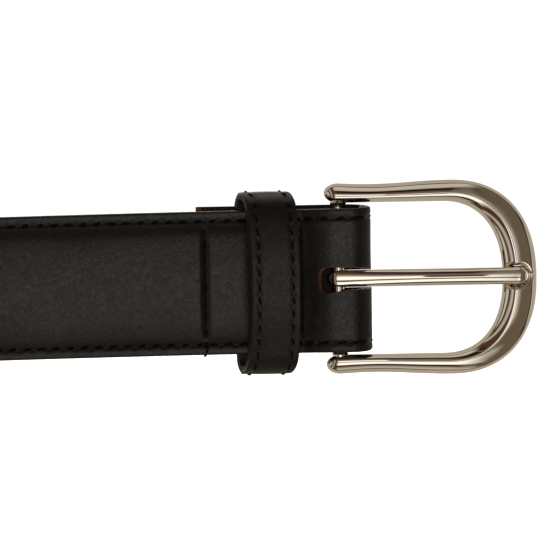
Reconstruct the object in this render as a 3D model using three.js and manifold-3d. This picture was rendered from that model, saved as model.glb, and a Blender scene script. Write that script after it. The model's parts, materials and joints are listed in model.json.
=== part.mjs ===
// A padded leather dress belt, 35 mm wide, size 32 in. It stands on its long edge as it is put away:
// the buckle end is straight, and the rest is coiled behind it with the grain side outwards.
// Units are millimetres, +Z up. Every piece is made in the belt's own frame, where x runs to the
// buckle, y across the strap and z out of the grain side, and x = 0 is the axis of the buckle's bar.

import * as THREE from 'three';
import { mergeVertices } from 'three/addons/utils/BufferGeometryUtils.js';
import Module from 'manifold-3d';

const wasm = await Module();
wasm.setup();

// ---------------------------------------------------------------- driving dimensions

// Strap layers, measured outwards from the lining's face.
const STRAP_WIDTH = 35;
const LINING_THICKNESS = 1.1;
const OUTER_THICKNESS = 1.3;
const CORE_THICKNESS = 1.4;
const GLUE_LINE = 0.1;
const CORE_HALF_WIDTH = 11.3;
const RAISED_TOP_HALF_WIDTH = 12.2;
const RAISED_BASE_HALF_WIDTH = 13.8;

// Strap length and holes, measured from the bar.
const MIDDLE_HOLE = 813;
const HOLE_COUNT = 5;
const HOLE_PITCH = 25;
const HOLE_RADIUS = 2.5;
const LAST_HOLE_TO_TIP = 95;
const TIP_TAPER = 42;
const TIP_BLUNTNESS = 0.3;
const TIP_SEAM = 5;
const TIP_FLAT = 8;

// The coil. On the way there the strap drops across its width, to stand level with the buckle's lower arm.
const COIL_START_X = -146;
const COIL_RADIUS = 50;
const COIL_PITCH = 6;
const COIL_STEP = Math.PI / 9;
const FRONT_DROP = 0.8;
const COIL_DROP = 6.2;
const DROP_LENGTH = 400;
// Places where the straight front bends a little, to follow its drop.
const FRONT_BREAKS = [-120, -95, -65];
const TURNED_RISE = 0.2;

// The straight front, the fold round the bar and the end turned back behind it.
const TURNED_END_X = -34.5;
const FRONT_Z = 4.5;
const CREST_START_X = -8.5;
const CREST_END_X = -1.5;
const FOLD_X = 7.9;
const RAISED_END_X = -37;

// The slot that the prong swings in.
const SLOT_END_X = -5;
const SLOT_WIDTH = 6.5;
const SLOT_CORNER = 2;

// Stitching.
const THREAD_WIDTH = 0.7;
const THREAD_HEIGHT = 0.35;
const THREAD_RECESS = 0.05;
const THREAD_CLEARANCE = 0.1;
const EDGE_ROW_INSET = 2.75;
const CROSS_ROW_HALF_LENGTH = 12.8;
const CROSS_ROW_STITCHES = 8;
const CROSS_LEG = 0.6;
const REAR_ROW_X = -32.6;
const FRONT_ROW_X = -9.25;

// The keeper loop, which leans towards the buckle.
const KEEPER_BASE_X = -25.3;
const KEEPER_LENGTH = 11.7;
const KEEPER_WIDTH = 44.3;
const KEEPER_DROP = 1;
const KEEPER_BOTTOM_Z = 2.6;
const KEEPER_TOP_Z = 13.6;
const KEEPER_CORNER = 4.2;
const KEEPER_LEAN = 0.338;
const KEEPER_OUTER_THICKNESS = 0.9;
const KEEPER_LINING_THICKNESS = 0.8;
const KEEPER_ROW_INSET = 1.6;
const KEEPER_JOINT_GAP = 0.2;
const STAPLE_HALF_SPAN = 3.5;
const STAPLE_WIDTH = 1.2;
const STAPLE_WIRE = 0.4;
const STAPLE_TURN = 2.4;

// The buckle.
const BAR_Z = 4.65;
const BAR_RADIUS = 1.75;
const BAR_HALF_LENGTH = 21.8;
const FIT_CLEARANCE = 0.1;
const FOOT_RADIUS = 3.1;
const FOOT_Y = 20.6;
const FRAME_INNER_CENTRE_X = 25.2;
const FRAME_INNER_LENGTH = 14.8;
const FRAME_INNER_HALF_WIDTH = 18.5;
const FRAME_OUTER_CENTRE_X = 27.2;
const FRAME_OUTER_LENGTH = 21.1;
const FRAME_OUTER_HALF_WIDTH = 23.7;
const FRAME_WAIST = 0.75;
const FRAME_SQUARENESS = 2.3;
const FRAME_CLEAR_Z = 12;
const CRADLE_HALF_WIDTH = 2.5;
const CRADLE_FLOOR_Z = 4.6;
const CRADLE_START_X = 34;
const CRADLE_END_X = 46.6;

// The prong.
const PRONG_WIDTH = 4.1;
const PRONG_EYE_RADIUS = 3.1;
const PRONG_EYE_BORE = 1.9;
const PRONG_TIP_X = 45.8;

// ---------------------------------------------------------------- derived dimensions

const HALF_WIDTH = STRAP_WIDTH / 2;
const OUTER_START = LINING_THICKNESS + GLUE_LINE;
const STRAP_THICKNESS = OUTER_START + OUTER_THICKNESS;
const CORE_TOP = OUTER_START + CORE_THICKNESS;
const RAISED_TOP = CORE_TOP + GLUE_LINE + OUTER_THICKNESS;
const RAISE = CORE_THICKNESS + GLUE_LINE;
const STRAP_LENGTH = MIDDLE_HOLE + ((HOLE_COUNT - 1) / 2) * HOLE_PITCH + LAST_HOLE_TO_TIP;
const COIL_LENGTH = STRAP_LENGTH + COIL_START_X;
const FOLD_INNER_RADIUS = BAR_Z - STRAP_THICKNESS;
const FOLD_CENTRE_X = FOLD_X - FOLD_INNER_RADIUS - STRAP_THICKNESS;
const CREST_Z = BAR_Z + FOLD_INNER_RADIUS;
const FRONT_TOP_Z = FRONT_Z + STRAP_THICKNESS;
const BOW_X = FRAME_OUTER_CENTRE_X + FRAME_OUTER_LENGTH;
const KEEPER_THICKNESS = KEEPER_OUTER_THICKNESS + GLUE_LINE + KEEPER_LINING_THICKNESS;
const CUT_MARGIN = 2;

// ---------------------------------------------------------------- solids and geometries

function solidFrom(geometry) {
  const bare = geometry.clone();
  bare.deleteAttribute('normal');
  bare.deleteAttribute('uv');
  const merged = mergeVertices(bare, 1e-4);
  return new wasm.Manifold(new wasm.Mesh({
    numProp: 3,
    vertProperties: new Float32Array(merged.attributes.position.array),
    triVerts: new Uint32Array(merged.index.array),
  }));
}

function geometryFrom(solid) {
  const mesh = solid.getMesh();
  const geometry = new THREE.BufferGeometry();
  geometry.setAttribute('position', new THREE.BufferAttribute(mesh.vertProperties, 3));
  geometry.setIndex(new THREE.BufferAttribute(mesh.triVerts, 1));
  geometry.computeVertexNormals();
  return geometry;
}

function union(solids) {
  return solids.reduce((whole, solid) => whole.add(solid));
}

function box(x0, x1, y0, y1, z0, z1) {
  const geometry = new THREE.BoxGeometry(x1 - x0, y1 - y0, z1 - z0);
  geometry.translate((x0 + x1) / 2, (y0 + y1) / 2, (z0 + z1) / 2);
  return solidFrom(geometry);
}

// A shape drawn in plan (x, y), raised from z0 to z1.
function fromPlan(shape, z0, z1, curveSegments = 12) {
  const geometry = new THREE.ExtrudeGeometry(shape, { depth: z1 - z0, bevelEnabled: false, curveSegments });
  geometry.translate(0, 0, z0);
  return solidFrom(geometry);
}

// A shape drawn from the side (x, z), widened to y = +-halfWidth.
function fromSide(shape, halfWidth) {
  const depth = 2 * halfWidth;
  const geometry = new THREE.ExtrudeGeometry(shape, { depth, bevelEnabled: false, curveSegments: 10 });
  geometry.rotateX(Math.PI / 2);
  geometry.translate(0, halfWidth, 0);
  return solidFrom(geometry);
}

// A shape drawn from the end (y, z), drawn out from x0 to x1.
function fromEnd(shape, x0, x1) {
  const depth = x1 - x0;
  const geometry = new THREE.ExtrudeGeometry(shape, { depth, bevelEnabled: false, curveSegments: 5 });
  geometry.applyMatrix4(new THREE.Matrix4().makeBasis(
    new THREE.Vector3(0, 1, 0),
    new THREE.Vector3(0, 0, 1),
    new THREE.Vector3(1, 0, 0),
  ));
  geometry.translate(x0, 0, 0);
  return solidFrom(geometry);
}

function cylinderAlongY(radius, y0, y1, x, z) {
  const geometry = new THREE.CylinderGeometry(radius, radius, y1 - y0, 20);
  geometry.translate(x, (y0 + y1) / 2, z);
  return solidFrom(geometry);
}

function ball(radius, x, y, z) {
  const geometry = new THREE.SphereGeometry(radius, 16, 10);
  geometry.translate(x, y, z);
  return solidFrom(geometry);
}

// ---------------------------------------------------------------- the strap's course

// How far round the coil a distance along it reaches, from the coil's outer end.
function coilAngle(distance) {
  const tightening = COIL_PITCH / (2 * Math.PI);
  return (COIL_RADIUS - Math.sqrt(COIL_RADIUS ** 2 - 2 * tightening * distance)) / tightening;
}

function coilDistance(angle) {
  return COIL_RADIUS * angle - (COIL_PITCH * angle ** 2) / (4 * Math.PI);
}

// How far off the buckle's middle line the strap lies, at a distance from the bar.
function dropAt(distance) {
  return -FRONT_DROP - (COIL_DROP - FRONT_DROP) * THREE.MathUtils.smoothstep(distance, 0, DROP_LENGTH);
}

// A place on the lining's face in the coil: its point, the way out to the grain side, and its width.
function coilStation(fromTip) {
  const distance = COIL_LENGTH - fromTip;
  const angle = coilAngle(distance);
  const radius = COIL_RADIUS - (COIL_PITCH * angle) / (2 * Math.PI);
  const taper = Math.min(fromTip / TIP_TAPER, 1);
  const outward = new THREE.Vector2(-Math.sin(angle), Math.cos(angle));
  return {
    fromTip,
    point: new THREE.Vector2(COIL_START_X, FRONT_Z - COIL_RADIUS).addScaledVector(outward, radius),
    outward,
    drop: dropAt(distance - COIL_START_X),
    width: TIP_BLUNTNESS + (1 - TIP_BLUNTNESS) * Math.sqrt(1 - (1 - taper) ** 2),
    raise: THREE.MathUtils.smoothstep(fromTip, TIP_FLAT, TIP_FLAT * 2),
  };
}

// Distances from the tip at which the coil has a station: close together at the tip, then at even angles.
function coilStops() {
  const seam = [TIP_SEAM - THREAD_CLEARANCE, TIP_SEAM];
  const seamEnd = [TIP_SEAM + THREAD_WIDTH, TIP_SEAM + THREAD_WIDTH + THREAD_CLEARANCE];
  const stops = [0, 2, ...seam, ...seamEnd, TIP_FLAT, TIP_FLAT * 2, TIP_FLAT * 3, TIP_TAPER];
  const innermost = Math.floor(coilAngle(COIL_LENGTH - TIP_TAPER - TIP_FLAT) / COIL_STEP);
  for (let i = innermost; i >= 1; i -= 1) {
    stops.push(COIL_LENGTH - coilDistance(i * COIL_STEP));
  }
  return stops;
}

// The lining's face from the coil to the turned-back end: straight, over the bar, round it and back.
function frontPoints() {
  const foldSteps = 8;
  const path = [COIL_START_X, ...FRONT_BREAKS, RAISED_END_X - 1, RAISED_END_X, CREST_START_X]
    .map((x) => ({ x, z: FRONT_Z, drop: dropAt(-x) }));
  path.push({ x: CREST_END_X, z: CREST_Z, drop: dropAt(-CREST_END_X) });
  for (let i = 0; i <= foldSteps; i += 1) {
    const angle = Math.PI / 2 - (Math.PI * i) / foldSteps;
    path.push({
      x: FOLD_CENTRE_X + FOLD_INNER_RADIUS * Math.cos(angle),
      z: BAR_Z + FOLD_INNER_RADIUS * Math.sin(angle),
      drop: THREE.MathUtils.lerp(dropAt(0), TURNED_RISE, i / foldSteps),
    });
  }
  path.push({ x: TURNED_END_X + 1, z: STRAP_THICKNESS, drop: TURNED_RISE });
  path.push({ x: TURNED_END_X, z: STRAP_THICKNESS, drop: TURNED_RISE });
  return path.map(({ x, z, drop }) => ({ point: new THREE.Vector2(x, z), drop }));
}

function leftNormal(from, to) {
  const direction = to.clone().sub(from).normalize();
  return new THREE.Vector2(-direction.y, direction.x);
}

function frontStations() {
  const path = frontPoints();
  const last = path.length - 1;
  return path.map(({ point, drop }, i) => {
    const before = leftNormal(path[Math.max(i - 1, 0)].point, path[Math.max(i, 1)].point);
    const after = leftNormal(path[Math.min(i, last - 1)].point, path[Math.min(i + 1, last)].point);
    const mitre = before.add(after);
    return {
      fromTip: COIL_LENGTH + i,
      point,
      outward: mitre.multiplyScalar(2 / mitre.lengthSq()),
      drop,
      width: 1,
      raise: point.x < RAISED_END_X && i < last - 1 ? 1 : 0,
    };
  });
}

const stations = [...coilStops().map(coilStation), ...frontStations()];
const LAST_STATION = stations[stations.length - 1].fromTip;

// Draws a section (across, outwards) out along the strap, between two places counted from the tip.
function alongStrap(section, from = 0, to = LAST_STATION) {
  const run = stations.filter(({ fromTip }) => fromTip >= from - 1e-6 && fromTip <= to + 1e-6);
  const steps = run.length - 1;
  const geometry = new THREE.ExtrudeGeometry(section, { depth: steps, steps, bevelEnabled: false });
  const position = geometry.attributes.position;
  for (let i = 0; i < position.count; i += 1) {
    const { point, outward, drop, width, raise } = run[Math.round(position.getZ(i))];
    const across = position.getX(i);
    const flat = Math.abs(across) <= RAISED_TOP_HALF_WIDTH && position.getY(i) > OUTER_START + 0.05;
    const out = position.getY(i) - (flat ? RAISE * (1 - raise) : 0);
    position.setXYZ(i, point.x + outward.x * out, across * width + drop, point.y + outward.y * out);
  }
  return solidFrom(geometry);
}

function outline(points) {
  return new THREE.Shape(points.map(([across, out]) => new THREE.Vector2(across, out)));
}

// A section given by its +y half, from the middle line out and back, mirrored to -y.
function mirrored(half) {
  return outline([...half, ...half.map(([across, out]) => [-across, out]).reverse()]);
}

function strip(inner, outer, low, high) {
  return outline([[inner, low], [outer, low], [outer, high], [inner, high]]);
}

function slotCutter() {
  const halfWidth = SLOT_WIDTH / 2;
  const end = FOLD_X + CUT_MARGIN;
  const shape = new THREE.Shape();
  shape.moveTo(end, -halfWidth);
  shape.lineTo(end, halfWidth);
  shape.lineTo(SLOT_END_X + SLOT_CORNER, halfWidth);
  shape.absarc(SLOT_END_X + SLOT_CORNER, halfWidth - SLOT_CORNER, SLOT_CORNER, Math.PI / 2, Math.PI);
  shape.absarc(SLOT_END_X + SLOT_CORNER, SLOT_CORNER - halfWidth, SLOT_CORNER, Math.PI, Math.PI * 1.5);
  shape.lineTo(end, -halfWidth);
  return fromPlan(shape, -CUT_MARGIN, CREST_Z + STRAP_THICKNESS + CUT_MARGIN, 6);
}

// Cylinders through the strap, each along the way out at its own place in the coil.
function holeCutters() {
  const cutters = [];
  for (let i = 0; i < HOLE_COUNT; i += 1) {
    const { point, outward, drop } = coilStation(LAST_HOLE_TO_TIP + i * HOLE_PITCH);
    const axis = new THREE.Vector3(outward.x, 0, outward.y);
    const geometry = new THREE.CylinderGeometry(HOLE_RADIUS, HOLE_RADIUS, RAISED_TOP + 1, 14);
    geometry.applyQuaternion(new THREE.Quaternion().setFromUnitVectors(new THREE.Vector3(0, 1, 0), axis));
    geometry.translate(point.x, drop, point.y);
    geometry.translate(axis.x * RAISED_TOP / 2, 0, axis.z * RAISED_TOP / 2);
    cutters.push(solidFrom(geometry));
  }
  return union(cutters);
}

// ---------------------------------------------------------------- stitching

const ROW_INNER = HALF_WIDTH - EDGE_ROW_INSET - THREAD_WIDTH / 2;
const ROW_OUTER = HALF_WIDTH - EDGE_ROW_INSET + THREAD_WIDTH / 2;

// One thread of the edge stitching, at a depth: a strand along each edge, joined across the tip.
function edgeThread(low, high) {
  const seamEnd = TIP_SEAM + THREAD_WIDTH;
  return union([
    alongStrap(strip(ROW_INNER, ROW_OUTER, low, high), TIP_SEAM, LAST_STATION - 1),
    alongStrap(strip(-ROW_OUTER, -ROW_INNER, low, high), TIP_SEAM, LAST_STATION - 1),
    alongStrap(strip(-ROW_OUTER, ROW_OUTER, low, high), TIP_SEAM, seamEnd),
  ]);
}

function faceThread() {
  const top = STRAP_THICKNESS - THREAD_RECESS;
  return edgeThread(top - THREAD_HEIGHT, top);
}

function backThread() {
  return edgeThread(THREAD_RECESS, THREAD_RECESS + THREAD_HEIGHT);
}

// The groove across the tip that the joining strand lies in.
function tipGroove(low, high) {
  const reach = ROW_OUTER + THREAD_CLEARANCE;
  const end = TIP_SEAM + THREAD_WIDTH + THREAD_CLEARANCE;
  return alongStrap(strip(-reach, reach, low, high), TIP_SEAM - THREAD_CLEARANCE, end);
}

// A cross row at x: a strand on each grain face, joined by legs through both layers of the strap.
function crossRow(x, clearance, opening) {
  const half = THREAD_WIDTH / 2 + clearance;
  const length = CROSS_ROW_HALF_LENGTH + clearance;
  const top = FRONT_TOP_Z - THREAD_RECESS;
  const topStrand = box(x - half, x + half, -length, length, top - THREAD_HEIGHT - clearance, top + opening);
  const bottomTop = THREAD_RECESS + THREAD_HEIGHT + clearance;
  const bottomStrand = box(x - half, x + half, -length, length, THREAD_RECESS - opening, bottomTop);
  const leg = CROSS_LEG / 2 + clearance;
  const reach = CROSS_ROW_HALF_LENGTH - CROSS_LEG / 2;
  const legs = [];
  for (let i = 0; i < CROSS_ROW_STITCHES; i += 1) {
    const y = -reach + (2 * reach * i) / (CROSS_ROW_STITCHES - 1);
    legs.push(box(x - leg, x + leg, y - leg, y + leg, THREAD_RECESS + 0.1, top - 0.1));
  }
  return union([topStrand, bottomStrand, ...legs]);
}

function crossRowCutter(x) {
  return crossRow(x, THREAD_CLEARANCE, 0.5);
}

// ---------------------------------------------------------------- strap pieces

function commonCuts() {
  return union([slotCutter(), holeCutters(), crossRowCutter(REAR_ROW_X), crossRowCutter(FRONT_ROW_X)]);
}

const GROOVE_DEPTH = THREAD_RECESS + THREAD_HEIGHT + THREAD_CLEARANCE;
const GROOVE_INNER = ROW_INNER - THREAD_CLEARANCE;
const GROOVE_OUTER = ROW_OUTER + THREAD_CLEARANCE;

function strapOuter() {
  const pocketTop = CORE_TOP + GLUE_LINE;
  const grooveFloor = STRAP_THICKNESS - GROOVE_DEPTH;
  const section = mirrored([
    [RAISED_TOP_HALF_WIDTH, RAISED_TOP],
    [RAISED_BASE_HALF_WIDTH, STRAP_THICKNESS],
    [GROOVE_INNER, STRAP_THICKNESS],
    [GROOVE_INNER, grooveFloor],
    [GROOVE_OUTER, grooveFloor],
    [GROOVE_OUTER, STRAP_THICKNESS],
    [HALF_WIDTH, STRAP_THICKNESS],
    [HALF_WIDTH, OUTER_START],
    [RAISED_TOP_HALF_WIDTH, OUTER_START],
    [CORE_HALF_WIDTH + 0.3, pocketTop],
  ]);
  return alongStrap(section)
    .subtract(tipGroove(grooveFloor, STRAP_THICKNESS + 1))
    .subtract(commonCuts());
}

function strapLining() {
  const section = mirrored([
    [GROOVE_INNER, 0],
    [GROOVE_INNER, GROOVE_DEPTH],
    [GROOVE_OUTER, GROOVE_DEPTH],
    [GROOVE_OUTER, 0],
    [HALF_WIDTH, 0],
    [HALF_WIDTH, LINING_THICKNESS],
  ]);
  return alongStrap(section)
    .subtract(tipGroove(-1, GROOVE_DEPTH))
    .subtract(commonCuts());
}

// The core ends a little before the raised part does, at the tip and at the keeper.
function strapCore() {
  const section = strip(-CORE_HALF_WIDTH, CORE_HALF_WIDTH, OUTER_START, CORE_TOP);
  return alongStrap(section, TIP_FLAT * 2, COIL_LENGTH + 2).subtract(holeCutters());
}

// ---------------------------------------------------------------- keeper

// The loop's outline from the end, cut back by inset: a rectangle with round corners.
function keeperOutline(inset) {
  const y = KEEPER_WIDTH / 2 - KEEPER_CORNER;
  const low = KEEPER_BOTTOM_Z + KEEPER_CORNER;
  const high = KEEPER_TOP_Z - KEEPER_CORNER;
  const radius = KEEPER_CORNER - inset;
  const shape = new THREE.Shape();
  shape.absarc(y, low, radius, -Math.PI / 2, 0);
  shape.absarc(y, high, radius, 0, Math.PI / 2);
  shape.absarc(-y, high, radius, Math.PI / 2, Math.PI);
  shape.absarc(-y, low, radius, Math.PI, Math.PI * 1.5);
  return shape;
}

function keeperRing(outerInset, innerInset, x0, x1) {
  return fromEnd(keeperOutline(outerInset), x0, x1)
    .subtract(fromEnd(keeperOutline(innerInset), x0 - CUT_MARGIN, x1 + CUT_MARGIN));
}

function keeperThread(x, clearance) {
  const half = THREAD_WIDTH / 2 + clearance;
  const outerInset = clearance > 0 ? -0.3 : THREAD_RECESS;
  return keeperRing(outerInset, THREAD_RECESS + THREAD_HEIGHT + clearance, x - half, x + half);
}

const KEEPER_LEFT_ROW_X = KEEPER_BASE_X + KEEPER_ROW_INSET;
const KEEPER_RIGHT_ROW_X = KEEPER_BASE_X + KEEPER_LENGTH - KEEPER_ROW_INSET;

// The gap between the strip's two ends, in the middle of the run under the strap.
function keeperJoint() {
  const half = KEEPER_JOINT_GAP / 2;
  const x0 = KEEPER_BASE_X - CUT_MARGIN;
  const x1 = KEEPER_BASE_X + KEEPER_LENGTH + CUT_MARGIN;
  return box(x0, x1, -half, half, KEEPER_BOTTOM_Z - 1, KEEPER_BOTTOM_Z + KEEPER_THICKNESS + 1);
}

// A wire staple across the joint: its crown is outside, and its legs turn in on the inside.
function keeperStaple(clearance, opening) {
  const x = KEEPER_BASE_X + KEEPER_LENGTH / 2;
  const half = STAPLE_WIDTH / 2 + clearance;
  const span = STAPLE_HALF_SPAN + clearance;
  const bottom = KEEPER_BOTTOM_Z + THREAD_RECESS;
  const top = KEEPER_BOTTOM_Z + KEEPER_THICKNESS - THREAD_RECESS;
  const crownTop = bottom + STAPLE_WIRE + clearance;
  const parts = [box(x - half, x + half, -span, span, bottom - opening, crownTop)];
  for (const side of [-1, 1]) {
    const end = side * span;
    const legEnd = side * (STAPLE_HALF_SPAN - STAPLE_WIRE * 2 - clearance);
    const turnEnd = side * (STAPLE_HALF_SPAN - STAPLE_TURN - clearance);
    const turnBottom = top - STAPLE_WIRE - clearance;
    const [leg0, leg1] = [Math.min(end, legEnd), Math.max(end, legEnd)];
    const [turn0, turn1] = [Math.min(end, turnEnd), Math.max(end, turnEnd)];
    parts.push(box(x - half, x + half, leg0, leg1, bottom, top));
    parts.push(box(x - half, x + half, turn0, turn1, turnBottom, top + opening));
  }
  return union(parts);
}

function keeperOuter() {
  return keeperRing(0, KEEPER_OUTER_THICKNESS, KEEPER_BASE_X, KEEPER_BASE_X + KEEPER_LENGTH)
    .subtract(keeperThread(KEEPER_LEFT_ROW_X, THREAD_CLEARANCE))
    .subtract(keeperThread(KEEPER_RIGHT_ROW_X, THREAD_CLEARANCE))
    .subtract(keeperStaple(THREAD_CLEARANCE, 0.5))
    .subtract(keeperJoint());
}

function keeperLining() {
  const start = KEEPER_OUTER_THICKNESS + GLUE_LINE;
  return keeperRing(start, KEEPER_THICKNESS, KEEPER_BASE_X, KEEPER_BASE_X + KEEPER_LENGTH)
    .subtract(keeperStaple(THREAD_CLEARANCE, 0.5))
    .subtract(keeperJoint());
}

// Leans a finished keeper piece towards the buckle about its lowest line, and drops it with the strap.
function leaned(geometry) {
  const lean = new THREE.Matrix4().set(
    1, 0, KEEPER_LEAN, -KEEPER_LEAN * KEEPER_BOTTOM_Z,
    0, 1, 0, -KEEPER_DROP,
    0, 0, 1, 0,
    0, 0, 0, 1,
  );
  return geometry.applyMatrix4(lean);
}

// ---------------------------------------------------------------- buckle

// Points of a squarish half oval that bulges to +X, from +halfWidth to -halfWidth.
function halfOval(centreX, length, halfWidth, steps) {
  const points = [];
  for (let i = 0; i <= steps; i += 1) {
    const angle = Math.PI / 2 - (Math.PI * i) / steps;
    const across = Math.sign(Math.sin(angle)) * Math.abs(Math.sin(angle)) ** (2 / FRAME_SQUARENESS);
    const along = Math.max(Math.cos(angle), 0) ** (2 / FRAME_SQUARENESS);
    points.push(new THREE.Vector2(centreX + length * along, halfWidth * across));
  }
  return points;
}

// The outer edge of one arm, from the foot to the bow, slightly waisted.
function armEdge(side) {
  const steps = 6;
  const points = [];
  for (let i = 0; i < steps; i += 1) {
    const t = i / steps;
    const halfWidth = FRAME_OUTER_HALF_WIDTH - FRAME_WAIST * Math.cos((Math.PI * (t - 0.3)) / 1.4) ** 2;
    points.push(new THREE.Vector2(FRAME_OUTER_CENTRE_X * t, side * halfWidth));
  }
  return points;
}

function framePlan() {
  const outer = [
    ...armEdge(1),
    ...halfOval(FRAME_OUTER_CENTRE_X, FRAME_OUTER_LENGTH, FRAME_OUTER_HALF_WIDTH, 20),
    ...armEdge(-1).reverse(),
  ];
  const inner = halfOval(FRAME_INNER_CENTRE_X, FRAME_INNER_LENGTH, FRAME_INNER_HALF_WIDTH, 20).reverse();
  const innerStart = new THREE.Vector2(0, -FRAME_INNER_HALF_WIDTH);
  const innerEnd = new THREE.Vector2(0, FRAME_INNER_HALF_WIDTH);
  return new THREE.Shape([...outer, innerStart, ...inner, innerEnd]);
}

// The frame from the side: level with the bar at the feet, lower and thicker at the bow.
function frameSide() {
  const shape = new THREE.Shape();
  shape.moveTo(-1, 2.4);
  shape.bezierCurveTo(14, 2.6, 26, 1.6, 36, 0.2);
  shape.lineTo(BOW_X - 1.2, 0.2);
  shape.lineTo(BOW_X + 0.1, 1.4);
  shape.lineTo(BOW_X + 0.1, 3.6);
  shape.bezierCurveTo(BOW_X - 1.5, 5.2, BOW_X - 4.5, 6.2, BOW_X - 7, 6.2);
  shape.bezierCurveTo(30, 6.6, 14, 7.4, -1, 6.9);
  shape.lineTo(-1, 2.4);
  return shape;
}

// A bar with one round end in plan, for the prong and for the groove that its tip lies in.
function roundEnded(startX, endX, halfWidth, z0, z1) {
  const shape = new THREE.Shape();
  shape.moveTo(startX, -halfWidth);
  shape.lineTo(endX - halfWidth, -halfWidth);
  shape.absarc(endX - halfWidth, 0, halfWidth, -Math.PI / 2, Math.PI / 2);
  shape.lineTo(startX, halfWidth);
  return fromPlan(shape, z0, z1);
}

function buckleFrame() {
  const arms = fromPlan(framePlan(), -CUT_MARGIN, FRAME_CLEAR_Z).intersect(fromSide(frameSide(), 30));
  const feet = [-1, 1].map((side) => ball(FOOT_RADIUS, 0, side * FOOT_Y, BAR_Z));
  const boreRadius = BAR_RADIUS + FIT_CLEARANCE;
  const boreEnd = BAR_HALF_LENGTH + FIT_CLEARANCE;
  return union([arms, ...feet])
    .subtract(cylinderAlongY(boreRadius, -boreEnd, boreEnd, 0, BAR_Z))
    .subtract(roundEnded(CRADLE_START_X, CRADLE_END_X, CRADLE_HALF_WIDTH, CRADLE_FLOOR_Z, FRAME_CLEAR_Z));
}

function buckleBar() {
  return cylinderAlongY(BAR_RADIUS, -BAR_HALF_LENGTH, BAR_HALF_LENGTH, 0, BAR_Z);
}

// ---------------------------------------------------------------- prong

function prongSide() {
  const top = BAR_Z + PRONG_EYE_RADIUS;
  const shape = new THREE.Shape();
  shape.moveTo(4.5, 5.1);
  shape.bezierCurveTo(16, 5.9, 28, 5.7, 38, 4.95);
  shape.lineTo(43.6, 4.95);
  shape.bezierCurveTo(45.4, 5, PRONG_TIP_X, 5.3, PRONG_TIP_X, 5.9);
  shape.bezierCurveTo(PRONG_TIP_X, 6.6, 44.8, 7, 43.4, 7.2);
  shape.bezierCurveTo(30, 8.9, 16, 8.8, 1, top);
  shape.absarc(0, BAR_Z, PRONG_EYE_RADIUS, Math.PI / 2, Math.PI * 2);
  return shape;
}

function prong() {
  return fromSide(prongSide(), PRONG_WIDTH / 2)
    .intersect(roundEnded(-FOLD_X, PRONG_TIP_X, PRONG_WIDTH / 2, -CUT_MARGIN, FRAME_CLEAR_Z))
    .subtract(cylinderAlongY(PRONG_EYE_BORE, -PRONG_WIDTH, PRONG_WIDTH, 0, BAR_Z));
}

// ---------------------------------------------------------------- materials

const blackLeather = { color: 0x1c1a17, roughness: 0.45, metalness: 0 };
const liningLeather = { color: 0x2a211b, roughness: 0.65, metalness: 0 };
const fibreBoard = { color: 0x6b5a48, roughness: 0.9, metalness: 0 };
const blackThread = { color: 0x0e0d0c, roughness: 0.75, metalness: 0 };
const nickel = { color: 0xd8d2c8, roughness: 0.12, metalness: 1 };
const steelWire = { color: 0x9c9c9a, roughness: 0.35, metalness: 1 };

// ---------------------------------------------------------------- assembly

const belt = new THREE.Group();

function place(name, geometry, finish) {
  const mesh = new THREE.Mesh(geometry, new THREE.MeshStandardMaterial(finish));
  mesh.name = name;
  belt.add(mesh);
}

place('strap_outer_leather', geometryFrom(strapOuter()), blackLeather);
place('strap_lining', geometryFrom(strapLining()), liningLeather);
place('strap_padding_core', geometryFrom(strapCore()), fibreBoard);
place('edge_stitching_face_thread', geometryFrom(faceThread()), blackThread);
place('edge_stitching_back_thread', geometryFrom(backThread()), blackThread);
place('rear_cross_stitching', geometryFrom(crossRow(REAR_ROW_X, 0, 0)), blackThread);
place('front_cross_stitching', geometryFrom(crossRow(FRONT_ROW_X, 0, 0)), blackThread);

place('keeper_outer_leather', leaned(geometryFrom(keeperOuter())), blackLeather);
place('keeper_lining', leaned(geometryFrom(keeperLining())), liningLeather);
place('keeper_stitching_left', leaned(geometryFrom(keeperThread(KEEPER_LEFT_ROW_X, 0))), blackThread);
place('keeper_stitching_right', leaned(geometryFrom(keeperThread(KEEPER_RIGHT_ROW_X, 0))), blackThread);
place('keeper_staple', leaned(geometryFrom(keeperStaple(0, 0))), steelWire);

place('buckle_frame', geometryFrom(buckleFrame()), nickel);
place('buckle_bar', geometryFrom(buckleBar()), nickel);
place('prong', geometryFrom(prong()), nickel);

// Stood on its long edge, grain side to the front, and centred over its lowest point.
belt.rotation.x = Math.PI / 2;
const bounds = new THREE.Box3().setFromObject(belt);
const middle = bounds.getCenter(new THREE.Vector3());
belt.position.set(-middle.x, -middle.y, -bounds.min.z);

export default belt;
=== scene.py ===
# A black padded dress belt, standing on its long edge: straight at the buckle and coiled behind.
# Shapes are made in millimetres in the belt's own frame, where x runs to the buckle, y across the
# strap and z out of the grain side, and x = 0 is the axis of the buckle's bar. place() puts them in
# the row frame.

import json
import math

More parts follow.
